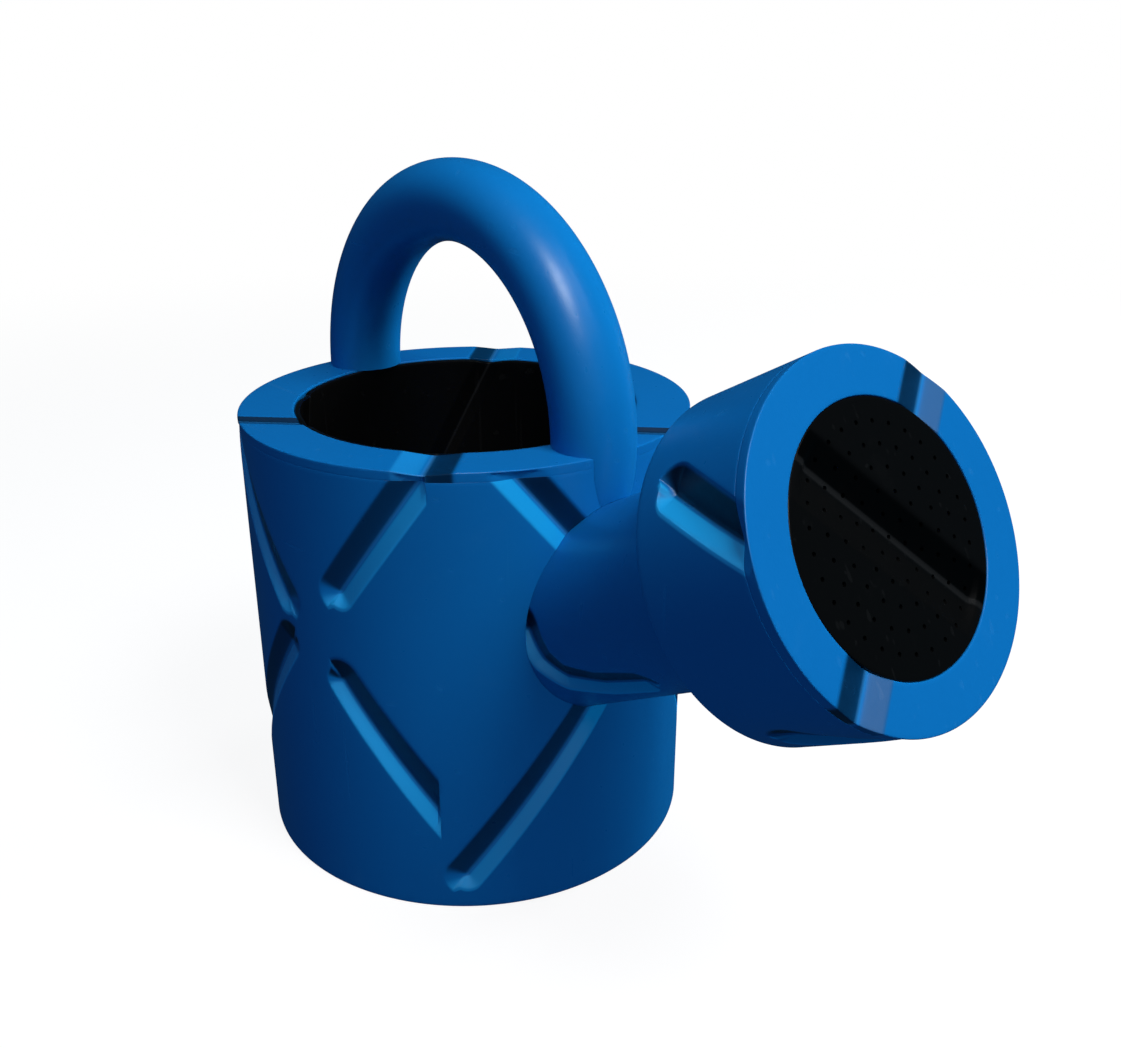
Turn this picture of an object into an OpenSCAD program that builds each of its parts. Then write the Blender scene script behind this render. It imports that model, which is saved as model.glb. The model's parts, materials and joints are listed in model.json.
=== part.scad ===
// Watering can: a cylindrical double-walled tank with an open mouth, a hoop handle,
// a straight wide spout and a pull-off sprinkler rose whose face ring unscrews.
// Millimetres, +Z up. The origin is the centre of the tank's underside and the
// spout points towards +X. "s" is a distance along the spout's axis.

/* [Tank] */
// Outer diameter of the tank
tank_d = 200; // [170:1:260]
// Height of the tank
tank_h = 200; // [160:1:280]
// Wall and floor of the outer shell
shell_wall = 3; // [2:0.1:4]
// Width of the flat deck around the mouth
deck_w = 24; // [23:0.5:30]
// Thickness of the deck
deck_t = 4; // [3:0.1:6]
// How far the deck's skirt reaches down into the shell
skirt_h = 8; // [6:0.5:10]
// Wall of the deck's skirt
skirt_t = 3; // [2:0.1:3]

/* [Inner tank] */
// Wall and floor of the inner tank
liner_wall = 2.5; // [1.5:0.1:3.5]
// Width of the ledge that carries the deck's seal
ledge_w = 5.5; // [4:0.1:5.5]
// Thickness of the ledge
ledge_t = 2.5; // [1.5:0.1:3]

/* [Handle] */
// Diameter of the handle's grip
grip_d = 34.5; // [28:0.5:42]
// Wall of the hollow handle
handle_wall = 3; // [2:0.1:5]
// Distance from the tank's side in to the handle's centre line
handle_inset = 13.5; // [12:0.1:15]
// Height of the solid part of each foot
foot_solid_h = 18; // [16:1:30]
// Distance between the two screws of one foot
screw_spacing = 16; // [14:0.5:18]

/* [Spout] */
// Outer diameter of the spout tube
tube_d = 79; // [60:1:95]
// Wall of the spout tube
tube_wall = 3; // [2:0.1:4]
// Angle of the spout above level
spout_angle = 29.2; // [22:0.1:36]
// Distance from the tank's rim down to the spout, at the tank's side
spout_drop = 20; // [18:1:40]
// Length of spout between the tank's side and the rose
spout_reach = 95.5; // [85:0.5:140]
// How far the rose's socket laps over the spout
socket_len = 22; // [18:0.5:26]

/* [Rose] */
// Outer diameter of the rose
rose_d = 124.6; // [124:0.2:160]
// Length of the rose along the spout's axis
rose_len = 50.5; // [48:0.5:75]
// Wall of the rose
rose_wall = 3; // [2:0.1:4]
// Width of the ring around the sieve plate
face_ring_w = 17; // [16:0.5:20]
// Thickness of that ring's face
face_ring_t = 4; // [3:0.1:5]
// Length of the ring's threaded spigot
spigot_len = 7; // [6:0.1:7.5]
// Diameter of one sieve hole
sieve_hole_d = 1.6; // [1:0.1:2.4]
// Distance between the rings of sieve holes
sieve_pitch = 7.4; // [6:0.1:7.6]

/* [Clearances] */
// Gap between pieces that are fixed together
snug = 0.15; // [0.1:0.05:0.2]
// Gap around the spout inside the rose's socket
slip = 0.2; // [0.15:0.05:0.3]
// Gap around the turning ring seal and in the face ring's thread
running = 0.1; // [0.05:0.01:0.1]

/* [Hidden] */
$fn = 96;
beyond = 1; // how far a cutter runs past what it cuts
overlap = 1; // how far joined shapes run into each other
blue = "#0b6fb6";
black = "#101010";
rubber = "#1c1c1e";
steel = "silver";

tank_r = tank_d / 2;
shell_bore_r = tank_r - shell_wall;
seam_z = tank_h - deck_t;
mouth_r = tank_r - deck_w;

// The deck's snap bead, a small ring of triangular section on its skirt
bead_drop = 0.7; // share of the skirt above the bead
bead_z = seam_z - skirt_h * bead_drop;
bead_h = 3;
bead_out = 0.6;

// Inner tank
liner_r = mouth_r - snug;
liner_bore_r = liner_r - liner_wall;
lip_recess = 0.6; // the lip ends this far below the deck's top
lip_z = tank_h - lip_recess;
seal_h = 5;
ledge_z = seam_z - seal_h - snug;
stop_ring_h = 5; // ring on the shell's floor that centres the inner tank
stop_ring_t = 3;

// Handle
handle_r = tank_r - handle_inset;
grip_r = grip_d / 2;
tongue_sweep = 30; // degrees of hoop below the deck from which the tongue is cut
screw_r = 2;
screw_len = 16; // from under the deck into the foot
screw_head_r = 4;
screw_head_h = 2.8;
screw_socket_r = 2; // hexagon socket in the head
screw_socket_depth = 1.6;
pilot_extra = 2; // the pilot hole is this much deeper than the screw
washer_r = 5;
washer_t = 1;
screw_hole_r = 2.3;

// Spout: its axis crosses the tank's axis at axis_z
tube_r = tube_d / 2;
tube_bore_r = tube_r - tube_wall;
axis_z = tank_h - spout_drop - tank_r * tan(spout_angle) - tube_r / cos(spout_angle);
rose_s = tank_r / cos(spout_angle) + spout_reach;
tube_stop = 1; // the tube runs this far past the rose's socket
tube_end_s = rose_s + socket_len + tube_stop;
tube_in = 3.4; // how far the tube reaches into the inner tank
tube_start_r = liner_bore_r - tube_in;
flange_w = 5.5; // flange of the tube behind the shell's wall
flange_t = 3;
grommet_t = 2.2; // rubber between the tube and the inner tank's hole
grommet_lip_w = 3.5;
grommet_lip_t = 1.8;
grommet_hole_r = tube_r + grommet_t;

// Rose
rose_r = rose_d / 2;
rose_end_s = rose_s + rose_len;
ring_s = rose_end_s - face_ring_t;
socket_bore_r = tube_r + slip;
socket_t = 3.4;
seal_in = 8; // the ring seal lies this far inside the socket
seal_s = rose_s + seal_in;
seal_w = 4;
seal_depth = 2.2;
sieve_r = rose_r - face_ring_w - snug;
sieve_t = 2.5;
sieve_wall = 2.5;
sieve_recess = 0.2; // the plate's face lies this far behind the ring's
thread_t = 1.5; // the rose's wall is this much thicker behind its thread
thread_r = rose_r - rose_wall - thread_t;
spigot_t = 3.4;
spigot_s = ring_s - spigot_len;
flange_r = thread_r - spigot_t - 2 * snug; // flange of the sieve plate
sieve_flange_t = 3;
gasket_t = 4;
gasket_w = 7;
gasket_s = ring_s - snug - sieve_flange_t - snug - gasket_t;
seat_s = gasket_s - snug;
seat_t = 3;
seat_lap = 2; // how far the seat reaches in past the gasket
seat_r = flange_r - gasket_w - seat_lap;
sieve_rings = 5;

// A plain ring about the local Z axis
module ring(inner, outer, low, high) {
    translate([0, 0, low]) difference() {
        cylinder(r = outer, h = high - low);
        translate([0, 0, -beyond]) cylinder(r = inner, h = high - low + 2 * beyond);
    }
}

// Children drawn up the local Z axis lie along the spout's axis
module along_spout() {
    translate([0, 0, axis_z]) rotate([0, 90 - spout_angle, 0]) children();
}

// A solid bar along the spout's axis, from the tank's axis outwards
module spout_bar(radius) {
    along_spout() cylinder(r = radius, h = rose_end_s);
}

// The snap bead, or with a clearance the groove that it clicks into
module bead(clearance) {
    low = bead_z - bead_h / 2 - clearance;
    high = bead_z + bead_h / 2 + clearance;
    root = shell_bore_r - skirt_t / 2;
    rotate_extrude() polygon([
        [root, low], [shell_bore_r - snug, low],
        [shell_bore_r + bead_out + clearance, bead_z],
        [shell_bore_r - snug, high], [root, high]
    ]);
}

// A stretch of the handle's hoop, from one angle to another above the deck
module hoop(radius, from, sweep) {
    translate([0, 0, tank_h]) rotate([90, 0, 0])
        rotate([0, 0, from])
            rotate_extrude(angle = sweep) translate([handle_r, 0]) circle(r = radius);
}

// Places children at the four screws of the handle's feet
module at_screws() {
    for (side = [-1, 1], hand = [-1, 1])
        translate([side * handle_r, hand * screw_spacing / 2, 0]) children();
}

module outer_shell() {
    color(blue) {
        difference() {
            cylinder(r = tank_r, h = seam_z);
            translate([0, 0, shell_wall]) cylinder(r = shell_bore_r, h = tank_h);
            bead(snug);
            spout_bar(tube_r + snug);
        }
        ring(liner_r + snug, liner_r + snug + stop_ring_t,
            shell_wall - snug, shell_wall + stop_ring_h);
    }
}

module inner_tank() {
    color(black) difference() {
        union() {
            translate([0, 0, shell_wall]) cylinder(r = liner_r, h = lip_z - shell_wall);
            translate([0, 0, ledge_z - ledge_t])
                cylinder(r = liner_r + ledge_w, h = ledge_t);
        }
        translate([0, 0, shell_wall + liner_wall])
            cylinder(r = liner_bore_r, h = tank_h);
        spout_bar(grommet_hole_r + snug);
    }
}

module top_deck() {
    skirt_r = shell_bore_r - snug;
    color(blue) difference() {
        union() {
            ring(mouth_r, tank_r, seam_z, tank_h);
            ring(skirt_r - skirt_t, skirt_r, seam_z - skirt_h, seam_z + overlap);
            difference() {
                bead(0);
                cylinder(r = skirt_r - skirt_t / 2, h = tank_h);
            }
        }
        at_screws() cylinder(r = screw_hole_r, h = tank_h + beyond);
    }
}

module deck_seal() {
    color(rubber) ring(liner_r + snug, liner_r + ledge_w - snug, ledge_z, ledge_z + seal_h);
}

// A hollow hoop with solid feet. A tongue of each foot laps over the tank's rim.
module handle() {
    hollow_from = asin(foot_solid_h / handle_r);
    color(blue) difference() {
        hoop(grip_r, -tongue_sweep, 180 + 2 * tongue_sweep);
        cylinder(r = tank_r + snug, h = tank_h);
        spout_bar(tube_r + snug);
        hoop(grip_r - handle_wall, hollow_from, 180 - 2 * hollow_from);
        at_screws() translate([0, 0, tank_h - beyond])
            cylinder(r = screw_r + running, h = screw_len - deck_t + pilot_extra + beyond);
    }
}

module screw_washers() {
    color(steel) at_screws() ring(screw_hole_r, washer_r, seam_z - washer_t, seam_z);
}

module handle_screws() {
    color(steel) at_screws() translate([0, 0, seam_z - washer_t]) {
        cylinder(r = screw_r, h = screw_len);
        translate([0, 0, -screw_head_h]) difference() {
            cylinder(r = screw_head_r, h = screw_head_h);
            translate([0, 0, -beyond])
                cylinder(r = screw_socket_r, h = screw_socket_depth + beyond, $fn = 6);
        }
    }
}

module spout_tube() {
    flange_out = shell_bore_r - snug;
    color(blue) difference() {
        union() {
            along_spout() cylinder(r = tube_r, h = tube_end_s);
            intersection() {
                spout_bar(tube_r + flange_w);
                ring(flange_out - flange_t, flange_out, shell_wall + stop_ring_h, seam_z - skirt_h);
            }
        }
        spout_bar(tube_bore_r);
        cylinder(r = tube_start_r, h = tank_h);
    }
}

// Rubber sleeve with a lip on both sides of the inner tank's wall
module spout_grommet() {
    lip_in = liner_bore_r - snug;
    lip_out = liner_r + snug;
    color(rubber) difference() {
        union() {
            intersection() {
                spout_bar(grommet_hole_r);
                ring(lip_in - grommet_lip_t, lip_out + grommet_lip_t, shell_wall, seam_z);
            }
            intersection() {
                spout_bar(grommet_hole_r + grommet_lip_w);
                union() {
                    ring(lip_in - grommet_lip_t, lip_in, shell_wall, seam_z);
                    ring(lip_out, lip_out + grommet_lip_t, shell_wall, seam_z);
                }
            }
        }
        spout_bar(tube_r + running);
    }
}

module rose_seal() {
    color(rubber) along_spout()
        ring(tube_r + running, tube_r + seal_depth, seal_s, seal_s + seal_w);
}

module rose_shell() {
    color(blue) along_spout() difference() {
        union() {
            ring(rose_r - rose_wall, rose_r, rose_s, ring_s - snug);
            ring(socket_bore_r, rose_r - overlap, rose_s, rose_s + rose_wall);
            ring(socket_bore_r, socket_bore_r + socket_t, rose_s, rose_s + socket_len);
            ring(thread_r + running, rose_r - overlap, seat_s - seat_t, ring_s - snug);
            ring(seat_r, rose_r - overlap, seat_s - seat_t, seat_s);
        }
        ring(tube_r, tube_r + seal_depth + running, seal_s - running, seal_s + seal_w + running);
    }
}

module rose_gasket() {
    color(rubber) along_spout()
        ring(flange_r - gasket_w, flange_r, gasket_s, gasket_s + gasket_t);
}

// Shallow black cup with a flange behind the face ring and rings of fine holes
module sieve_plate() {
    face_s = rose_end_s - sieve_recess;
    flange_s = ring_s - snug - sieve_flange_t;
    color(black) along_spout() difference() {
        union() {
            translate([0, 0, flange_s]) cylinder(r = sieve_r, h = face_s - flange_s);
            ring(sieve_r - sieve_wall, flange_r, flange_s, flange_s + sieve_flange_t);
        }
        translate([0, 0, flange_s - beyond])
            cylinder(r = sieve_r - sieve_wall, h = face_s - sieve_t - flange_s + beyond);
        translate([0, 0, face_s - sieve_t - beyond]) {
            cylinder(d = sieve_hole_d, h = sieve_t + 2 * beyond);
            for (k = [1:sieve_rings], i = [0:6 * k - 1])
                rotate([0, 0, i * 60 / k]) translate([k * sieve_pitch, 0, 0])
                    cylinder(d = sieve_hole_d, h = sieve_t + 2 * beyond);
        }
    }
}

module rose_ring() {
    color(blue) along_spout() {
        ring(rose_r - face_ring_w, rose_r, ring_s, rose_end_s);
        ring(thread_r - spigot_t, thread_r, spigot_s, ring_s + overlap);
    }
}

outer_shell();
inner_tank();
top_deck();
deck_seal();
handle();
screw_washers();
handle_screws();
spout_tube();
spout_grommet();
rose_seal();
rose_shell();
rose_gasket();
sieve_plate();
rose_ring();
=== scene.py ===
"""Watering can: blue moulded plastic with pressed grooves, a black inner tank and a black sieve.

The pieces are turned outlines or swept hoops that geometry nodes groove, cut and pierce.
Metres throughout. The tank stands on the floor about the world's Z axis, and the spout and the
rose lie about the spout's own axis, which the frame's joints give.
"""
import json
import math

import bmesh
import bpy
from mathutils import Matrix, Vector


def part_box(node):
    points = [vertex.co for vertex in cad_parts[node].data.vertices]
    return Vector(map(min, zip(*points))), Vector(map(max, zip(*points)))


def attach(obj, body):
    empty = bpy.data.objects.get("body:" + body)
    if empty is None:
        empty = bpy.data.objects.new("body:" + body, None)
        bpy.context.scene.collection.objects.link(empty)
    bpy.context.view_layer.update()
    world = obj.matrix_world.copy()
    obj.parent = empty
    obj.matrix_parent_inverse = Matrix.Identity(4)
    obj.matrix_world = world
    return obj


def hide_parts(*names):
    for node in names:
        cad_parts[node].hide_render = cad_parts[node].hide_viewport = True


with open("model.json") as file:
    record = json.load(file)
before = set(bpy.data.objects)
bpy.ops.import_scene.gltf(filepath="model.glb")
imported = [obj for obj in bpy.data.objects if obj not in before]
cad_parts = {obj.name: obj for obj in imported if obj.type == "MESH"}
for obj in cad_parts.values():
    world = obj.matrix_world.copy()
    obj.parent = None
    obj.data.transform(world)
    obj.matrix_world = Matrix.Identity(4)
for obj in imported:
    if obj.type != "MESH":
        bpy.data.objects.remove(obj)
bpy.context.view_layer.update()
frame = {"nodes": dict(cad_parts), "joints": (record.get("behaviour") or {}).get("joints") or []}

MM = 0.001
UP = Vector((0, 0, 1))
ORIGIN = Vector((0, 0, 0))

# The spout's axis, from the joint that turns about it
ring_joint = next(j for j in frame["joints"] if j["name"] == "ring_turn")
SPOUT_AXIS = Vector(ring_joint["axis"]).normalized()
SPOUT_FOOT = Vector(ring_joint["pos_m"])


def measured(node, foot=SPOUT_FOOT, axis=SPOUT_AXIS):
    """A CAD node's inner and outer radius about an axis, and its first and last place along it."""
    offsets = [vertex.co - foot for vertex in frame["nodes"][node].data.vertices]
    places = [offset.dot(axis) for offset in offsets]
    radii = [(offset - axis * place).length for offset, place in zip(offsets, places)]
    return min(radii), max(radii), min(places), max(places)


# Sizes read from the frame
TANK_R, SEAM_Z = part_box("outer_shell")[1].x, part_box("outer_shell")[1].z
TANK_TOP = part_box("top_deck")[1].z
MOUTH_R = measured("top_deck", ORIGIN, UP)[0]
LIP_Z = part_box("inner_tank")[1].z
GRIP_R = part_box("handle")[1].y
HOOP_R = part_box("handle")[1].z - TANK_TOP - GRIP_R
SEAL_BORE_R, SEAL_R, SEAL_S, SEAL_END_S = measured("rose_seal")
TUBE_END_S = measured("spout_tube")[3]
ROSE_R, ROSE_S, ROSE_END_S = measured("rose_shell")[1:]
GASKET_R, GASKET_S = measured("rose_gasket")[1:3]
FACE_R, SPIGOT_S, FACE_S = measured("rose_ring")[1:]
SIEVE_FLANGE_R, SIEVE_FLANGE_S, SIEVE_S = measured("sieve_plate")[1:]

# Sizes that the looks need and the boxes don't give
SHELL_WALL = 3 * MM
LINER_WALL = 2.5 * MM
SNUG = 0.15 * MM
RUNNING = 0.1 * MM
TUBE_R = SEAL_BORE_R - RUNNING
TUBE_WALL = 3 * MM
SOCKET_R = TUBE_R + 0.2 * MM
SKIRT_DROP = 8 * MM
FACE_T = 4 * MM
FACE_BORE_R = 45.3 * MM
SIEVE_R = FACE_BORE_R - SNUG
THREAD_R = ROSE_R - 4.5 * MM
EDGE = 0.5 * MM  # rounding of a moulded edge
SEAM_EDGE = 0.05 * MM  # rounding of the edges that meet at a seam

# Pressed grooves
GROOVE_HALF_W = 9.6 * MM
DECK_LINE_HALF_W = 11.5 * MM
CHORD_HALF_W = 5 * MM
STEEPER = 0.45  # how much steeper a groove's lit wall is than its shaded one
SIEVE_GROOVE_HALF_W = 12 * MM
SPOUT_GROOVE_HALF_W = 9 * MM
WALL_GROOVE_DEPTH = 2 * MM
ROSE_GROOVE_DEPTH = 2.6 * MM
TOP_GROOVE_DEPTH = 1.2 * MM
SIEVE_GROOVE_DEPTH = 2.2 * MM

# The tank's pattern repeats in four panels. A panel starts at a parting line, and its strokes run
# out from near its middle. Each stroke goes from one (degrees round, height) to another, counted
# from the panel's middle.
PANELS = 4
PARTING_LINE = -44.5
PANEL_MIDDLE = (57, 126 * MM)
TANK_STROKES = [
    ((-8.5, 9 * MM), (-44, 84 * MM)),
    ((10.5, 20 * MM), (38, 86 * MM)),
    ((-8.5, -12 * MM), (-50.9, -109 * MM)),
    ((9, -20.5 * MM), (41, -97 * MM)),
]
DECK_CHORD = 57 * MM
ROSE_PARTING_LINE = 30
ROSE_STROKES = [((26.6, 17 * MM), (55, 60 * MM))]
SPOUT_STROKES = [
    ((86, 106 * MM), (106, 107 * MM)), ((106, 107 * MM), (122, 113 * MM)),
    ((122, 113 * MM), (133, 130 * MM)), ((133, 130 * MM), (138, 150 * MM)),
]
RIB_STROKES = [((34.7, 110 * MM), (64, 38 * MM))]
RIB_PARTING_LINE = 100
FACE_LINE_TURN = 42
SIEVE_LINE_TURN = -43.5
LIP = 1.4 * MM  # an edge that the grooves leave whole


class Value:
    """One socket's output. Arithmetic on it adds Math nodes to its tree."""

    def __init__(self, kit, socket):
        self.kit, self.socket = kit, socket

    def math(self, operation, *others):
        inputs = dict(enumerate((self, *others)))
        return self.kit.add("ShaderNodeMath", inputs, operation=operation)

    def __add__(self, other):
        return self.math("ADD", other)

    def __mul__(self, other):
        return self.math("MULTIPLY", other)

    def __sub__(self, other):
        return self.math("SUBTRACT", other)

    def __truediv__(self, other):
        return self.math("DIVIDE", other)

    def __rsub__(self, other):
        return self.kit.add("ShaderNodeMath", {0: other, 1: self}, operation="SUBTRACT")

    __radd__, __rmul__ = __add__, __mul__

    def clamped(self):
        return self.kit.add("ShaderNodeClamp", {"Value": self})

    def between(self, low, high):
        """0 below low, 1 above high and smooth in between."""
        limits = {"Value": self, "From Min": low, "From Max": high}
        return self.kit.add("ShaderNodeMapRange", limits, interpolation_type="SMOOTHSTEP")


class Kit:
    """Adds nodes to one tree."""

    def __init__(self, tree):
        self.tree = tree

    def node(self, kind, inputs=None, stops=None, **settings):
        made = self.tree.nodes.new(kind)
        for name, value in settings.items():
            setattr(made, name, value)
        if stops:
            ramp = made.color_ramp.elements
            while len(ramp) < len(stops):
                ramp.new(1)
            for element, (place, colour) in zip(ramp, stops):
                element.position, element.color = place, colour
        for key, value in (inputs or {}).items():
            if isinstance(value, Value):
                self.tree.links.new(value.socket, made.inputs[key])
            elif value is not None:
                made.inputs[key].default_value = value
        return made

    def add(self, kind, inputs=None, out=0, **settings):
        return Value(self, self.node(kind, inputs, **settings).outputs[out])

    def polar(self, place):
        """x, y, z, radius and degrees round the Z axis of a place."""
        parts = self.node("ShaderNodeSeparateXYZ", {0: place})
        x, y, z = (Value(self, parts.outputs[i]) for i in range(3))
        radius = (x * x + y * y).math("SQRT")
        degrees = y.math("ARCTAN2", x) * math.degrees(1)
        return x, y, z, radius, degrees


# ---------------------------------------------------------------- geometry-node trees


class Shaper(Kit):
    """A geometry-node tree that reshapes one piece. Its sizes are named inputs."""

    def __init__(self, name, material, **sizes):
        super().__init__(bpy.data.node_groups.new(name, "GeometryNodeTree"))
        self.sizes, self.material = sizes, material
        face = self.tree.interface
        face.new_socket("Geometry", in_out="INPUT", socket_type="NodeSocketGeometry")
        for size in sizes:
            face.new_socket(size, in_out="INPUT", socket_type="NodeSocketFloat")
        face.new_socket("Geometry", in_out="OUTPUT", socket_type="NodeSocketGeometry")
        self.inlet = self.tree.nodes.new("NodeGroupInput")
        self.geometry = Value(self, self.inlet.outputs[0])

    def size(self, name):
        return Value(self, self.inlet.outputs[name])

    def position(self):
        """x, y, z, radius and degrees round the piece's own axis."""
        return self.polar(self.add("GeometryNodeInputPosition"))

    def offset(self, x, y, z):
        """Moves every point by the vector (x, y, z)."""
        vector = self.add("ShaderNodeCombineXYZ", {0: x, 1: y, 2: z})
        moved = {"Geometry": self.geometry, "Offset": vector}
        self.geometry = self.add("GeometryNodeSetPosition", moved)

    def press_in(self, depth):
        """Moves every point towards the piece's axis by depth."""
        x, y, _, radius, _ = self.position()
        share = depth / radius.math("MAXIMUM", MM)
        self.offset(0 - x * share, 0 - y * share, 0)

    def cylinder(self, radius, length, foot=ORIGIN, axis=UP, sides=128):
        """A solid cylinder that starts at foot and runs along axis."""
        bar = {"Vertices": sides, "Radius": radius, "Depth": length}
        shape = self.add("GeometryNodeMeshCylinder", bar)
        turn = axis.to_track_quat("Z", "Y").to_euler()
        place = {"Geometry": shape, "Translation": foot + axis * length / 2, "Rotation": turn}
        return self.add("GeometryNodeTransform", place)

    def cut(self, *cutters):
        """Takes the cutters out of the piece."""
        boolean = self.node("GeometryNodeMeshBoolean", {0: self.geometry}, operation="DIFFERENCE",
                            solver="MANIFOLD")
        for cutter in cutters:
            self.tree.links.new(cutter.socket, boolean.inputs[1])
        self.geometry = Value(self, boolean.outputs[0])

    def apply(self, piece):
        """Runs the tree on the piece and keeps the result as its plain mesh."""
        solid = self.add("GeometryNodeRealizeInstances", {0: self.geometry})
        painted = self.add("GeometryNodeSetMaterial", {0: solid, "Material": self.material})
        outlet = self.tree.nodes.new("NodeGroupOutput")
        self.tree.links.new(painted.socket, outlet.inputs[0])
        modifier = piece.modifiers.new("shape", "NODES")
        modifier.node_group = self.tree
        for item in self.tree.interface.items_tree:
            if item.name in self.sizes:
                modifier[item.identifier] = self.sizes[item.name]
        graph = bpy.context.evaluated_depsgraph_get()
        mesh = bpy.data.meshes.new_from_object(piece.evaluated_get(graph))
        piece.modifiers.remove(modifier)
        piece.data = mesh
        return piece


# ---------------------------------------------------------------- the pressed grooves
# The same patterns shape the pieces and paint shade and light on their walls. A pattern takes a
# kit, the groove's half width and a reach, and gives 1 on a groove's centre line and 0 outside it.
# With a reach it looks that far towards the light instead, which tells the wall that gets painted
# shade from the wall that gets painted light.


def groove_profile(distance, half_width):
    """A V with a soft root and soft shoulders."""
    share = distance / half_width
    softened = (share * share + 0.012).math("SQRT")
    return ((1.07 - softened).math("SMOOTH_MAX", 0.0, 0.10) - 0.005).clamped()


def stroke_distance(across, along, start, end, light):
    """Distance from (across, along) to the straight stroke between start and end. It grows
    faster on the side away from the light, where the wall is steeper."""
    run, rise = end[0] - start[0], end[1] - start[1]
    length = math.hypot(run, rise)
    facing = 1 if light[1] * run > light[0] * rise else -1
    dx, dy = across - start[0], along - start[1]
    share = ((dx * run + dy * rise) / length ** 2).clamped()
    off_x, off_y = dx - share * run, dy - share * rise
    distance = (off_x * off_x + off_y * off_y).math("SQRT")
    lit_side = (dx * rise - dy * run) * (facing / length)
    return distance * (1 + lit_side.between(-1 * MM, 1 * MM) * STEEPER)


def nearest(distances):
    """The smallest of several values."""
    smallest = distances[0]
    for distance in distances[1:]:
        smallest = smallest.math("MINIMUM", distance)
    return smallest


def strokes_on_wall(across, along, strokes, arc, light, half_width, reach):
    """The grooves of some strokes, which are given in degrees and metres."""
    across, along = across + light[0] * reach, along + light[1] * reach
    ends = [[(x * arc, y) for x, y in stroke] for stroke in strokes]
    distances = [stroke_distance(across, along, *stroke, light) for stroke in ends]
    return groove_profile(nearest(distances), half_width)


def panel_grooves(kit, half_width, reach, strokes, radius, parting_line, middle, light):
    """Strokes on a wall, repeated in each panel round it."""
    _, _, z, _, degrees = kit.position()
    turned = (degrees - parting_line + 720).math("MODULO", 360 / PANELS)
    arc = radius * math.radians(1)
    return strokes_on_wall((turned - middle[0]) * arc, z - middle[1], strokes, arc, light,
                           half_width, reach)


def tank_grooves(kit, half_width, reach=0.0):
    """Crossed grooves on the tank's wall."""
    return panel_grooves(kit, half_width, reach, TANK_STROKES, TANK_R, PARTING_LINE,
                         PANEL_MIDDLE, (0, 1))


def liner_ribs(kit, half_width, reach=0.0):
    """Slanted ribs on the inner tank's wall."""
    return panel_grooves(kit, half_width, reach, RIB_STROKES, MOUTH_R, RIB_PARTING_LINE,
                         (0, LIP_Z - 110 * MM), (0, 1))


def rose_grooves(kit, half_width, reach=0.0):
    """Slanted grooves on the rose's side."""
    return panel_grooves(kit, half_width, reach, ROSE_STROKES, ROSE_R, ROSE_PARTING_LINE,
                         (0, ROSE_S), (-0.86, 0.5))


def spout_grooves(kit, half_width, reach=0.0):
    """A curved groove on both sides of the spout."""
    _, _, z, _, degrees = kit.position()
    arc = TUBE_R * math.radians(1)
    return strokes_on_wall(degrees.math("ABSOLUTE") * arc, z, SPOUT_STROKES, arc, (-0.86, 0.5),
                           half_width, reach)


def deck_lines(kit, half_width, reach=0.0):
    """A wide groove across the deck's middle and a narrow one beside it."""
    x, y, _, _, _ = kit.position()
    # With a reach, the far half looks the other way, so its painted shade falls on the opposite
    # wall.
    far_half = (y - x).between(-1 * MM, 1 * MM)
    wide = (x + y + reach * (1 - far_half * 2)).math("ABSOLUTE") * math.sqrt(0.5)
    beside = (x - y - DECK_CHORD) * math.sqrt(0.5)
    narrow = groove_profile(beside.math("ABSOLUTE"), CHORD_HALF_W)
    if reach:
        # Painted shade for the narrow groove: full on its far half, about half on its near half, and
        # no painted light.
        narrow = (narrow - 0.09) * beside.between(-1 * MM, 0)
    return groove_profile(wide, half_width).math("MAXIMUM", narrow)


def line_across(kit, turn, half_width, reach):
    """A straight groove through the rose's axis, turned from its highest point."""
    x, y, _, _, _ = kit.position()
    slant = math.radians(turn)
    distance = (x + reach) * math.sin(slant) + y * math.cos(slant)
    return groove_profile(distance.math("ABSOLUTE"), half_width)


def face_line(kit, half_width, reach=0.0):
    """The groove across the face ring."""
    return line_across(kit, FACE_LINE_TURN, half_width, reach)


def sieve_line(kit, half_width, reach=0.0):
    """The wide groove across the sieve."""
    return line_across(kit, SIEVE_LINE_TURN, half_width, reach)


# ---------------------------------------------------------------- outlines and turned bodies

SPOUT_PLACE = Matrix.Translation(SPOUT_FOOT) @ Matrix((
    SPOUT_AXIS.cross(UP.cross(SPOUT_AXIS).normalized()).normalized(),
    UP.cross(SPOUT_AXIS).normalized() * -1,
    SPOUT_AXIS,
)).transposed().to_4x4()
TO_SPOUT = SPOUT_PLACE.inverted()


def rounded(before, corner, after, rounding, steps=3):
    """Points that replace a corner by a short curve."""
    start = corner + (before - corner).normalized() * rounding
    end = corner + (after - corner).normalized() * rounding
    shares = [i / steps for i in range(steps + 1)]
    return [start.lerp(corner, t).lerp(corner.lerp(end, t), t) for t in shares]


def outline(corners, closed):
    """Points of an outline in (radius, place). A corner is (radius, place, step, rounding): the
    run after it has points at most a step apart, and its edge is rounded."""
    places = [Vector(corner[:2]) for corner in corners]
    steps = [corner[2] if len(corner) > 2 else 4 * MM for corner in corners]
    roundings = [corner[3] if len(corner) > 3 else EDGE for corner in corners]
    groups = []
    for i, place in enumerate(places):
        ends = not closed and i in (0, len(places) - 1)
        before, after = places[i - 1], places[(i + 1) % len(places)]
        groups.append([place] if ends or not roundings[i] else
                      rounded(before, place, after, roundings[i]))
    points = []
    for i, group in enumerate(groups):
        points += group
        if closed or i < len(groups) - 1:
            following = groups[(i + 1) % len(groups)][0]
            count = math.ceil((following - group[-1]).length / steps[i])
            points += [group[-1].lerp(following, j / count) for j in range(1, count)]
    return points


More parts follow.
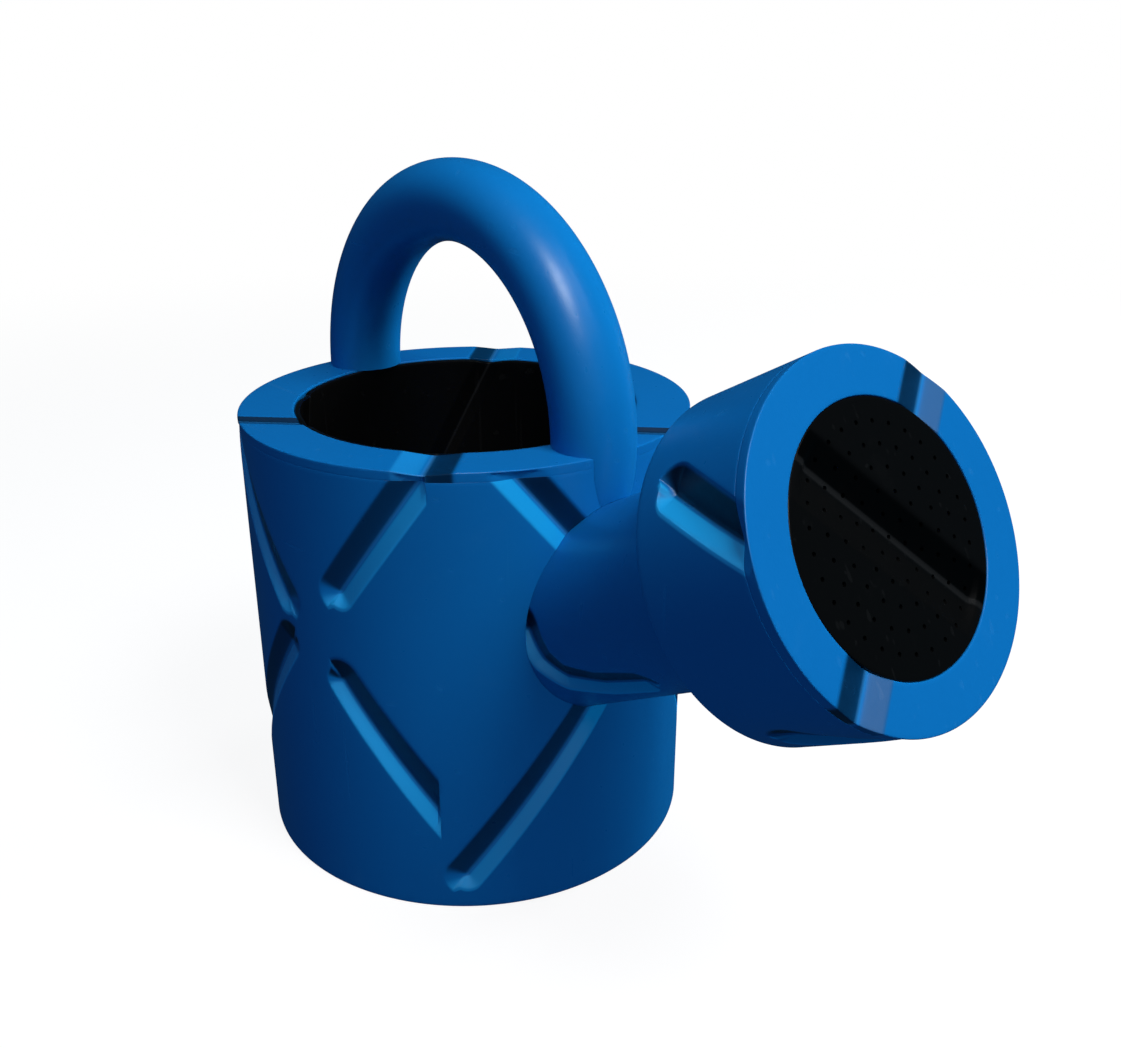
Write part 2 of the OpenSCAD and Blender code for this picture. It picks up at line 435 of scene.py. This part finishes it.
def turned(name, corners, columns, closed=True, start=0.0):
    """A body turned about its own Z axis from an outline."""
    body = bmesh.new()
    rings = []
    for radius, place in outline(corners, closed):
        if radius < 1e-7:
            rings.append([body.verts.new((0, 0, place))] * columns)
            continue
        angles = [math.radians(start + 360 * i / columns) for i in range(columns)]
        rings.append([body.verts.new((radius * math.cos(a), radius * math.sin(a), place))
                      for a in angles])
    pairs = list(zip(rings, rings[1:])) + ([(rings[-1], rings[0])] if closed else [])
    for low, high in pairs:
        for i in range(columns):
            j = (i + 1) % columns
            corner_list = [low[i], low[j], high[j], high[i]]
            body.faces.new(sorted(set(corner_list), key=corner_list.index))
    bmesh.ops.recalc_face_normals(body, faces=body.faces)
    return new_piece(name, body)


def new_piece(name, body):
    """Turns a bmesh into an object in the scene."""
    mesh = bpy.data.meshes.new(name)
    body.to_mesh(mesh)
    body.free()
    piece = bpy.data.objects.new(name, mesh)
    bpy.context.scene.collection.objects.link(piece)
    return piece


def finish_piece(piece, body, slot, *nodes, place=None, crease=35):
    """Puts a piece in its place, smooths it between its creases and ties it to its body."""
    if place:
        piece.data.transform(place)
    mesh = piece.data
    mesh.polygons.foreach_set("use_smooth", [True] * len(mesh.polygons))
    mesh.set_sharp_from_angle(angle=math.radians(crease))
    mesh.update()
    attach(piece, body)
    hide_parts(*nodes)


# ---------------------------------------------------------------- materials


class Finish(Kit):
    """A material with one Principled shader."""

    def __init__(self, name, frame_of=None, **constants):
        material = bpy.data.materials.new(name)
        material.use_nodes = True
        super().__init__(material.node_tree)
        self.material = material
        self.shader = self.tree.nodes["Principled BSDF"]
        for socket, value in constants.items():
            self.shader.inputs[socket].default_value = value
        coordinates = self.tree.nodes.new("ShaderNodeTexCoord")
        self.place = Value(self, coordinates.outputs["Object"])
        self.own_place = self.place
        if frame_of:
            turn = {"Vector": self.place, "Location": frame_of.translation,
                    "Rotation": frame_of.to_euler()}
            self.own_place = self.add("ShaderNodeMapping", turn)

    def position(self):
        """x, y, z, radius and degrees in the piece's own frame."""
        return self.polar(self.own_place)

    def noise(self, scale, detail=3.0, roughness=0.5, stretch=(1, 1, 1)):
        """Noise in space, from 0 to 1. The scale is in cells per metre."""
        place = self.add("ShaderNodeMapping", {"Vector": self.place, "Scale": stretch})
        looks = {"Vector": place, "Scale": scale, "Detail": detail, "Roughness": roughness}
        return self.add("ShaderNodeTexNoise", looks)

    def mix(self, share, first, second):
        """A colour between two others."""
        inputs = {"Factor": share, 6: first, 7: second}
        return self.add("ShaderNodeMix", inputs, out=2, data_type="RGBA")

    def feed(self, **sockets):
        """Links values to the shader, by socket name with underscores for spaces."""
        for name, value in sockets.items():
            self.tree.links.new(value.socket, self.shader.inputs[name.replace("_", " ")])

    def bump(self, height, distance, strength=1.0, under=None):
        inputs = {"Height": height, "Distance": distance, "Strength": strength, "Normal": under}
        return self.add("ShaderNodeBump", inputs)


def moulded_plastic(name, colour, pale, roughness, specular, frame_of=None, grooves=None,
                    half_width=GROOVE_HALF_W, wall_height=0.0, lit=None, hollow=None):
    """Moulded plastic: a faint flow mottle, a fine leathery skin, hairline scratches and dust.
    Grooves get steep walls from a bump, painted shade on the wall away from the light, painted light
    on the wall towards it, and a painted highlight line along their root.
    Hollow gives the radius and start of a hollow whose inside is painted dark as shade."""
    finish = Finish(name, frame_of, **{"Specular IOR Level": specular})
    flow = finish.noise(14, detail=2.0, stretch=(1, 1, 0.6))
    mottle = finish.noise(420, detail=2.0)
    scratches = (finish.noise(260, detail=1.0, stretch=(1, 1, 0.035)).between(0.70, 0.76)
                 + finish.noise(240, detail=1.0, stretch=(0.04, 1, 1)).between(0.71, 0.77)).clamped()
    rubbed = finish.noise(60, detail=4.0, roughness=0.65).between(0.56, 0.78)
    height = Value(finish, finish.node("ShaderNodeSeparateXYZ", {0: finish.place}).outputs[2])
    dust = (1 - height.between(2 * MM, 26 * MM)) * rubbed
    shade = (0.5 + (flow - 0.5) * 0.7 + (mottle - 0.5) * 0.18).clamped()
    deep = [channel * 0.90 for channel in colour] + [1]
    bright = [channel * 1.10 for channel in colour] + [1]
    base = finish.mix(shade, deep, bright)
    base = finish.mix((rubbed * 0.025 + scratches * 0.08 + dust * 0.10).clamped(), base, (*pale, 1))
    rough = roughness + (mottle - 0.5) * 0.10 + rubbed * 0.07 - scratches * 0.08 + dust * 0.12
    relief = None
    if grooves:
        pressed = grooves(finish, half_width)
        shifted = grooves(finish, half_width, half_width * 0.22)
        # Painted shade and light: the groove wall away from the light is darkened to near black in
        # the base colour, and the wall towards it is brightened to the lit colour.
        shaded = (pressed - shifted).between(0.02, 0.17)
        catching = (shifted - pressed).between(0.02, 0.17)
        # Painted highlight: a pale line along the groove's root.
        root = pressed.between(0.90, 0.95)
        base = finish.mix(shaded * 0.92, base, (*[channel * 0.06 for channel in colour], 1))
        base = finish.mix(catching * 0.8, base, (*lit, 1))
        base = finish.mix(root * 0.2, base, (*pale, 1))
        rough = rough + catching * 0.3
        relief = finish.bump(0 - pressed, wall_height)
    if hollow:
        # Painted shade: the hollow's inside is darkened in the base colour as if shadowed.
        _, _, z, radius, _ = finish.position()
        inside = (z.between(hollow[1] - MM, hollow[1])
                  * (1 - radius.between(hollow[0] - MM, hollow[0])))
        base = finish.mix(inside * 0.93, base, (*[channel * 0.05 for channel in colour], 1))
    skin = finish.noise(1500, detail=2.0, roughness=0.6)
    waves = finish.noise(38, detail=1.0)
    relief = finish.bump(waves, 0.5 * MM, 0.25, relief)
    relief = finish.bump(skin - scratches * 0.8, 0.05 * MM, 0.5, relief)
    finish.feed(Base_Color=base, Roughness=rough.clamped(), Normal=relief)
    return finish.material


def soft_rubber():
    """Black rubber: matt, with a grey bloom."""
    finish = Finish("soft_rubber", **{"Specular IOR Level": 0.3})
    bloom = finish.noise(90, detail=5.0, roughness=0.6)
    grain = finish.noise(1800, detail=2.0)
    base = finish.mix(bloom, (0.010, 0.010, 0.011, 1), (0.030, 0.030, 0.033, 1))
    finish.feed(Base_Color=base, Roughness=(0.68 + (bloom - 0.5) * 0.2).clamped(),
                Normal=finish.bump(grain, 0.04 * MM, 0.6))
    return finish.material


def plated_steel():
    """Zinc-plated steel: cool grey, lightly clouded, with turning marks."""
    finish = Finish("plated_steel", Metallic=1.0)
    cloud = finish.noise(350, detail=3.0)
    marks = finish.noise(900, detail=1.0, stretch=(1, 1, 8))
    base = finish.mix(cloud, (0.46, 0.47, 0.49, 1), (0.66, 0.67, 0.70, 1))
    finish.feed(Base_Color=base, Roughness=(0.30 + (cloud - 0.5) * 0.25).clamped(),
                Normal=finish.bump(marks, 0.02 * MM, 0.5))
    return finish.material


BLUE = (0.0030, 0.165, 0.485)
PALE_BLUE = (0.07, 0.32, 0.66)
# Painted light and shade on groove walls: the lit blues are painted light on the wall that faces the
# light, the face ring's slate wall colour is painted light on its groove wall, and the lit black is
# painted shade on the black pieces' lit walls. The pale colours serve real dust and scratches and
# also the painted highlight line at a groove's root.
LIT_BLUE = (0.004, 0.38, 0.82)
LIT_DECK = (0.004, 0.24, 0.60)
LIT_SPOUT = (0.010, 0.50, 0.95)
LIT_FACE = (0.022, 0.10, 0.25)
BLACK = (0.0026, 0.0026, 0.0026)
PALE_BLACK = (0.040, 0.040, 0.040)
LIT_BLACK = (0.0012, 0.0012, 0.0012)
BLUE_PLASTIC = (BLUE, PALE_BLUE, 0.34, 0.42)
BLACK_PLASTIC = (BLACK, PALE_BLACK, 0.34, 0.20)

handle_blue = moulded_plastic("handle_blue", (0.0030, 0.187, 0.53), *BLUE_PLASTIC[1:])
tank_blue = moulded_plastic("tank_blue", *BLUE_PLASTIC, None, tank_grooves, GROOVE_HALF_W,
                            3 * MM, LIT_BLUE)
deck_blue = moulded_plastic("deck_blue", *BLUE_PLASTIC, None, deck_lines, DECK_LINE_HALF_W,
                            2.5 * MM, LIT_DECK)
spout_blue = moulded_plastic("spout_blue", *BLUE_PLASTIC, TO_SPOUT, spout_grooves,
                             SPOUT_GROOVE_HALF_W, 3 * MM, LIT_SPOUT)
rose_blue = moulded_plastic("rose_blue", *BLUE_PLASTIC, TO_SPOUT, rose_grooves, GROOVE_HALF_W,
                            8 * MM, LIT_BLUE, (ROSE_R - 2 * MM, ROSE_S + 3 * MM))
face_blue = moulded_plastic("face_blue", *BLUE_PLASTIC, TO_SPOUT, face_line, GROOVE_HALF_W,
                            5 * MM, LIT_FACE)
liner_black = moulded_plastic("liner_black", *BLACK_PLASTIC, None, liner_ribs, 7.5 * MM,
                              1 * MM, LIT_BLACK)
sieve_black = moulded_plastic("sieve_black", *BLACK_PLASTIC, TO_SPOUT, sieve_line,
                              SIEVE_GROOVE_HALF_W, 2 * MM, LIT_BLACK)
black_rubber = soft_rubber()
screw_steel = plated_steel()

for node, finish in {
    "deck_seal": black_rubber, "spout_grommet": black_rubber, "rose_seal": black_rubber,
    "rose_gasket": black_rubber, "screw_washers": screw_steel, "handle_screws": screw_steel,
}.items():
    mesh = frame["nodes"][node].data
    mesh.materials.clear()
    mesh.materials.append(finish)


# ---------------------------------------------------------------- the tank

GROOVE_SIZES = {"Groove half width": GROOVE_HALF_W, "Groove depth": WALL_GROOVE_DEPTH}


def press_tank_pattern(shaper):
    """Presses the crossed grooves into whatever lies near the tank's side, below its lip."""
    _, _, z, radius, _ = shaper.position()
    near_side = radius.between(TANK_R - 14 * MM, TANK_R - 6.5 * MM)
    below_lip = 1 - z.between(TANK_TOP - LIP, TANK_TOP - LIP / 3)
    grooves = tank_grooves(shaper, shaper.size("Groove half width"))
    shaper.press_in(grooves * shaper.size("Groove depth") * near_side * below_lip)


def press_deck_lines(shaper, top, fade):
    """Lowers what lies near the deck's top along two straight lines, one of them diagonal."""
    z = shaper.position()[2]
    depth = deck_lines(shaper, DECK_LINE_HALF_W) * TOP_GROOVE_DEPTH
    shaper.offset(0, 0, 0 - depth * z.between(top - fade, top - 0.5 * MM))


WALL_COLUMNS = 440


def tank_wall():
    """The outer shell: its side is pressed in along the crossed grooves."""
    fine, coarse = 1.7 * MM, 5 * MM
    bore = TANK_R - SHELL_WALL
    piece = turned("tank_wall", [
        (0, 0, 12 * MM), (TANK_R, 0, fine, 1.2 * MM), (TANK_R, SEAM_Z, fine, SEAM_EDGE),
        (bore, SEAM_Z, coarse, 0.35 * MM), (bore, SHELL_WALL, 12 * MM, 1.5 * MM),
        (0, SHELL_WALL),
    ], WALL_COLUMNS, closed=False, start=PARTING_LINE)
    shaper = Shaper("Tank wall", tank_blue, **GROOVE_SIZES)
    press_tank_pattern(shaper)
    shaper.cut(shaper.cylinder(TUBE_R + SNUG, 3 * TANK_R, SPOUT_FOOT, SPOUT_AXIS))
    finish_piece(shaper.apply(piece), "tank", "blue_plastic", "outer_shell")


def deck():
    """The deck round the mouth, with its skirt."""
    fine = 1 * MM
    skirt = TANK_R - SHELL_WALL - SNUG
    piece = turned("deck", [
        (MOUTH_R, SEAM_Z), (MOUTH_R, TANK_TOP, fine, 0.8 * MM),
        (TANK_R, TANK_TOP, fine, 0.5 * MM), (TANK_R, SEAM_Z, fine, SEAM_EDGE),
        (skirt, SEAM_Z, 2 * MM, 0), (skirt, SEAM_Z - SKIRT_DROP),
        (skirt - 3 * MM, SEAM_Z - SKIRT_DROP), (skirt - 3 * MM, SEAM_Z, 4 * MM, 0),
    ], WALL_COLUMNS, start=PARTING_LINE)
    shaper = Shaper("Deck", deck_blue, **GROOVE_SIZES)
    press_tank_pattern(shaper)
    press_deck_lines(shaper, TANK_TOP, 1.5 * MM)
    finish_piece(shaper.apply(piece), "tank", "blue_plastic", "top_deck")


def liner():
    """The black inner tank. Its lip dips where the deck's lines cross it, and slanted ribs
    stiffen its wall."""
    outer = MOUTH_R - SNUG
    bore = outer - LINER_WALL
    ledge_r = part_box("inner_tank")[1].x
    ledge_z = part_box("deck_seal")[0].z
    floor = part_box("inner_tank")[0].z
    piece = turned("liner", [
        (0, floor, 12 * MM), (outer, floor, 3 * MM, 1.5 * MM),
        (outer, ledge_z - 2.5 * MM, 4 * MM, 0), (ledge_r, ledge_z - 2.5 * MM),
        (ledge_r, ledge_z, 4 * MM), (outer, ledge_z, 2 * MM, 0),
        (outer, LIP_Z, 1 * MM, 0.8 * MM), (bore, LIP_Z, 2.4 * MM, 0.9 * MM),
        (bore, floor + LINER_WALL, 12 * MM, 4 * MM), (0, floor + LINER_WALL),
    ], 288, closed=False)
    shaper = Shaper("Inner tank", liner_black,
                    **{"Rib half width": 7.5 * MM, "Rib height": 1.6 * MM})
    on_wall = 1 - shaper.position()[3].between(outer + 0.1 * MM, outer + 1 * MM)
    ribs = liner_ribs(shaper, shaper.size("Rib half width"))
    shaper.press_in(ribs * shaper.size("Rib height") * on_wall)
    press_deck_lines(shaper, LIP_Z, 7 * MM)
    hole = measured("spout_grommet")[1] - 3.5 * MM + SNUG
    shaper.cut(shaper.cylinder(hole, 3 * TANK_R, SPOUT_FOOT, SPOUT_AXIS))
    finish_piece(shaper.apply(piece), "tank", "black_plastic", "inner_tank")


def hoop_handle():
    """The handle: a round hoop, cut where its feet meet the deck, the tank's side and the spout."""
    piece = new_piece("hoop_handle", bmesh.new())
    shaper = Shaper("Hoop handle", handle_blue, **{"Hoop radius": HOOP_R, "Grip radius": GRIP_R})
    sweep = math.radians(240)
    arc = {"Resolution": 220, "Radius": shaper.size("Hoop radius"),
           "Start Angle": (math.pi - sweep) / 2, "Sweep Angle": sweep}
    path = shaper.add("GeometryNodeCurveArc", arc, mode="RADIUS")
    ring = {"Resolution": 88, "Radius": shaper.size("Grip radius")}
    section = shaper.add("GeometryNodeCurvePrimitiveCircle", ring, mode="RADIUS")
    swept = {"Curve": path, "Profile Curve": section, "Fill Caps": True}
    hoop = shaper.add("GeometryNodeCurveToMesh", swept)
    upright = {"Geometry": hoop, "Translation": UP * TANK_TOP, "Rotation": (math.pi / 2, 0, 0)}
    shaper.geometry = shaper.add("GeometryNodeTransform", upright)
    shaper.cut(shaper.cylinder(TANK_R + SNUG, TANK_TOP, sides=400),
               shaper.cylinder(TUBE_R + SNUG, 2 * TANK_R, SPOUT_FOOT, SPOUT_AXIS, sides=200))
    finish_piece(shaper.apply(piece), "tank", "blue_plastic", "handle")


# ---------------------------------------------------------------- the spout and its rose

def press_rose_pattern(shaper):
    """Presses the slanted grooves into the rose's side, behind the lip of its face. The press
    fades through the whole wall, so the wall thins without folding over the thread."""
    _, _, z, radius, _ = shaper.position()
    near_side = radius.between(THREAD_R + 0.2 * MM, ROSE_R - 0.1 * MM)
    behind_lip = 1 - z.between(FACE_S - LIP, FACE_S - LIP / 3)
    grooves = rose_grooves(shaper, shaper.size("Groove half width"))
    shaper.press_in(grooves * shaper.size("Groove depth") * near_side * behind_lip)


def spout_tube():
    """The spout, with a curved groove on both sides where it leaves the tank."""
    bore = TUBE_R - TUBE_WALL
    piece = turned("spout", [
        (TUBE_R, 50 * MM, 1.6 * MM, 0), (TUBE_R, TUBE_END_S, 2 * MM, 0.8 * MM),
        (bore, TUBE_END_S, 3 * MM, 0.8 * MM), (bore, 50 * MM, 4 * MM, 0),
    ], 200)
    shaper = Shaper("Spout", spout_blue,
                    **{"Groove half width": SPOUT_GROOVE_HALF_W,
                       "Groove depth": ROSE_GROOVE_DEPTH})
    grooves = spout_grooves(shaper, shaper.size("Groove half width"))
    shaper.press_in(grooves * shaper.size("Groove depth"))
    tank_axis = (TO_SPOUT.to_3x3() @ UP).normalized()
    shaper.cut(shaper.cylinder(MOUTH_R - 6 * MM, TANK_TOP, TO_SPOUT @ ORIGIN, tank_axis, 256))
    finish_piece(shaper.apply(piece), "tank", "blue_plastic", "spout_tube", place=SPOUT_PLACE)


def rose_body():
    """The rose: a drum with a socket for the spout and a seat for the sieve."""
    fine = 1.4 * MM
    seat_s = GASKET_S - SNUG
    seat_r = GASKET_R - 9 * MM
    sleeve = SOCKET_R + 3.4 * MM
    inside = ROSE_R - 3 * MM
    thread = THREAD_R + RUNNING
    slot_r = SEAL_R + RUNNING
    piece = turned("rose_body", [
        (ROSE_R, ROSE_S, fine, 0.8 * MM), (ROSE_R, ROSE_END_S, fine, SEAM_EDGE),
        (thread, ROSE_END_S), (thread, seat_s), (seat_r, seat_s), (seat_r, seat_s - 3 * MM),
        (inside, seat_s - 3 * MM, 2.5 * MM), (inside, ROSE_S + 3 * MM),
        (sleeve, ROSE_S + 3 * MM), (sleeve, ROSE_S + 22 * MM), (SOCKET_R, ROSE_S + 22 * MM),
        (SOCKET_R, SEAL_END_S + RUNNING, 4 * MM, 0), (slot_r, SEAL_END_S + RUNNING, 4 * MM, 0),
        (slot_r, SEAL_S - RUNNING, 4 * MM, 0), (SOCKET_R, SEAL_S - RUNNING, 4 * MM, 0),
        (SOCKET_R, ROSE_S),
    ], 360, start=ROSE_PARTING_LINE)
    sizes = {"Groove half width": GROOVE_HALF_W, "Groove depth": ROSE_GROOVE_DEPTH}
    shaper = Shaper("Rose body", rose_blue, **sizes)
    press_rose_pattern(shaper)
    finish_piece(shaper.apply(piece), "rose", "blue_plastic", "rose_shell", place=SPOUT_PLACE)


def face_ring():
    """The screwed ring that holds the sieve, with a diagonal groove across its face."""
    fine = 1.1 * MM
    back = FACE_S - FACE_T
    spigot_in = THREAD_R - 3.4 * MM
    piece = turned("face_ring", [
        (FACE_BORE_R, back), (FACE_BORE_R, FACE_S, fine, 0.5 * MM),
        (FACE_R, FACE_S, fine, 0.5 * MM), (FACE_R, back, fine, SEAM_EDGE),
        (THREAD_R, back, 2 * MM, 0), (THREAD_R, SPIGOT_S), (spigot_in, SPIGOT_S),
        (spigot_in, back, 4 * MM, 0),
    ], 360, start=ROSE_PARTING_LINE)
    sizes = {"Groove half width": GROOVE_HALF_W, "Groove depth": ROSE_GROOVE_DEPTH}
    shaper = Shaper("Face ring", face_blue, **sizes)
    press_rose_pattern(shaper)
    near_face = shaper.position()[2].between(FACE_S - LIP, FACE_S - LIP / 3)
    line = face_line(shaper, shaper.size("Groove half width"))
    shaper.offset(0, 0, 0 - line * TOP_GROOVE_DEPTH * near_face)
    finish_piece(shaper.apply(piece), "ring", "blue_plastic", "rose_ring", place=SPOUT_PLACE)


def sieve():
    """The black sieve: a shallow cup with one wide groove and rings of fine holes."""
    plate = 2.5 * MM
    flange_top = SIEVE_FLANGE_S + 3 * MM
    cup = SIEVE_R - 2.5 * MM
    piece = turned("sieve", [
        (0, SIEVE_S, 1.2 * MM), (SIEVE_R, SIEVE_S, 2 * MM, 0.5 * MM),
        (SIEVE_R, flange_top, 4 * MM, 0), (SIEVE_FLANGE_R, flange_top),
        (SIEVE_FLANGE_R, SIEVE_FLANGE_S), (cup, SIEVE_FLANGE_S),
        (cup, SIEVE_S - plate, 2.4 * MM), (0, SIEVE_S - plate),
    ], 180, closed=False)
    sizes = {"Groove half width": SIEVE_GROOVE_HALF_W, "Groove depth": SIEVE_GROOVE_DEPTH,
             "Hole radius": 0.8 * MM}
    shaper = Shaper("Sieve", sieve_black, **sizes)
    radius = shaper.position()[3]
    line = sieve_line(shaper, shaper.size("Groove half width"))
    inside_cup = 1 - radius.between(cup - 3.5 * MM, cup - 0.5 * MM)
    shaper.offset(0, 0, 0 - line * shaper.size("Groove depth") * inside_cup)
    shaper.cut(perforations(shaper, SIEVE_S - 10 * MM, 14 * MM))
    finish_piece(shaper.apply(piece), "sieve", "black_plastic", "sieve_plate", place=SPOUT_PLACE)


def perforations(shaper, start, length, rings=5, pitch=7.4 * MM):
    """Fine round bars on rings, each ring with six more than the one inside it."""
    joined = shaper.node("GeometryNodeJoinGeometry")
    for k in range(1, rings + 1):
        ring = shaper.add("GeometryNodeMeshCircle", {"Vertices": 6 * k, "Radius": k * pitch})
        shaper.tree.links.new(ring.socket, joined.inputs[0])
    middle = shaper.add("GeometryNodePoints", {"Count": 1})
    shaper.tree.links.new(middle.socket, joined.inputs[0])
    bar = {"Vertices": 14, "Radius": shaper.size("Hole radius"), "Depth": length}
    drill = shaper.add("GeometryNodeMeshCylinder", bar)
    spread = {"Points": Value(shaper, joined.outputs[0]), "Instance": drill}
    drills = shaper.add("GeometryNodeInstanceOnPoints", spread)
    lifted = {"Geometry": shaper.add("GeometryNodeRealizeInstances", {0: drills}),
              "Translation": UP * (start + length / 2)}
    return shaper.add("GeometryNodeTransform", lifted)


tank_wall()
deck()
liner()
hoop_handle()
spout_tube()
rose_body()
face_ring()
sieve()


# ---------------------------------------------------------------- floor, light and camera


def pale_floor():
    """A wide pale floor that fades to white far from the object and takes a faint shadow."""
    body = bmesh.new()
    bmesh.ops.create_grid(body, x_segments=1, y_segments=1, size=40)
    floor = new_piece("floor", body)
    floor.visible_diffuse = floor.visible_glossy = False
    finish = Finish("pale_floor", Roughness=0.9, **{"Specular IOR Level": 0.1})
    finish.shader.inputs["Base Color"].default_value = (0.20, 0.20, 0.20, 1)
    finish.shader.inputs["Emission Color"].default_value = (1, 0.99, 0.98, 1)
    finish.shader.inputs["Emission Strength"].default_value = 0.88
    spread = finish.add("ShaderNodeVectorMath", {0: finish.place}, out=1, operation="LENGTH")
    white = finish.add("ShaderNodeEmission", {"Color": (1, 1, 1, 1)})
    inputs = {0: spread.between(0.5, 1.6), 1: Value(finish, finish.shader.outputs[0]), 2: white}
    blend = finish.add("ShaderNodeMixShader", inputs)
    finish.tree.links.new(blend.socket, finish.tree.nodes["Material Output"].inputs[0])
    floor.data.materials.append(finish.material)


def soft_box(name, azimuth, elevation, distance, size, power, sheen=True, matt=True,
             shadow=True):
    """A square soft light that looks at the object from an azimuth and an elevation."""
    a, e = math.radians(azimuth), math.radians(elevation)
    towards = Vector((math.cos(a) * math.cos(e), math.sin(a) * math.cos(e), math.sin(e)))
    lamp = bpy.data.lights.new(name, "AREA")
    lamp.size, lamp.energy, lamp.use_shadow = size, power, shadow
    light = bpy.data.objects.new(name, lamp)
    light.location = AIM + towards * distance
    light.rotation_euler = towards.to_track_quat("Z", "Y").to_euler()
    light.visible_glossy, light.visible_diffuse = sheen, matt
    bpy.context.scene.collection.objects.link(light)


def surroundings():
    """White where the camera looks, and a dim blue-grey fill for the object."""
    world = bpy.data.worlds.new("surroundings")
    bpy.context.scene.world = world
    world.use_nodes = True
    kit = Kit(world.node_tree)
    rays = kit.node("ShaderNodeLightPath").outputs
    seen, mirrored = Value(kit, rays["Is Camera Ray"]), Value(kit, rays["Is Glossy Ray"])
    light = {"Factor": mirrored, 6: FILL, 7: REFLECTED}
    dim = kit.add("ShaderNodeMix", light, out=2, data_type="RGBA")
    colour = kit.add("ShaderNodeMix", {"Factor": seen, 6: dim, 7: (1, 1, 1, 1)}, out=2,
                     data_type="RGBA")
    kit.tree.links.new(colour.socket, world.node_tree.nodes["Background"].inputs[0])


def camera():
    """Looks down at the object from the side of the spout."""
    azimuth, elevation = math.radians(50.17), math.radians(22.04)
    right = Vector((math.cos(azimuth), math.sin(azimuth), 0))
    back = Vector((math.sin(azimuth) * math.cos(elevation),
                   -math.cos(azimuth) * math.cos(elevation), math.sin(elevation)))
    up = back.cross(right)
    target = UP * TANK_TOP / 2 + right * 42.2 * MM + up * 36.3 * MM
    lens = bpy.data.cameras.new("camera")
    lens.lens, lens.sensor_width, lens.clip_start = 37.76, 36, 0.01
    eye = bpy.data.objects.new("camera", lens)
    place = Matrix((right, up, back)).transposed().to_4x4()
    eye.matrix_world = Matrix.Translation(target + back * 0.566) @ place
    bpy.context.scene.collection.objects.link(eye)
    bpy.context.scene.camera = eye


AIM = Vector((0.05, 0, 0.13))
FILL = (0.02, 0.108, 0.205, 1)
REFLECTED = (0.008, 0.026, 0.040, 1)

pale_floor()
surroundings()
soft_box("key", 5, 55, 1.6, 0.6, 15.5, sheen=False)
soft_box("open_key", 5, 62, 1.6, 0.6, 8, sheen=False, shadow=False)
soft_box("side_key", 86, 5, 1.6, 0.6, 17, sheen=False)
soft_box("highlight", -44, 54, 1.6, 0.5, 14, matt=False)
camera()
bpy.context.scene.view_settings.view_transform = "Standard"
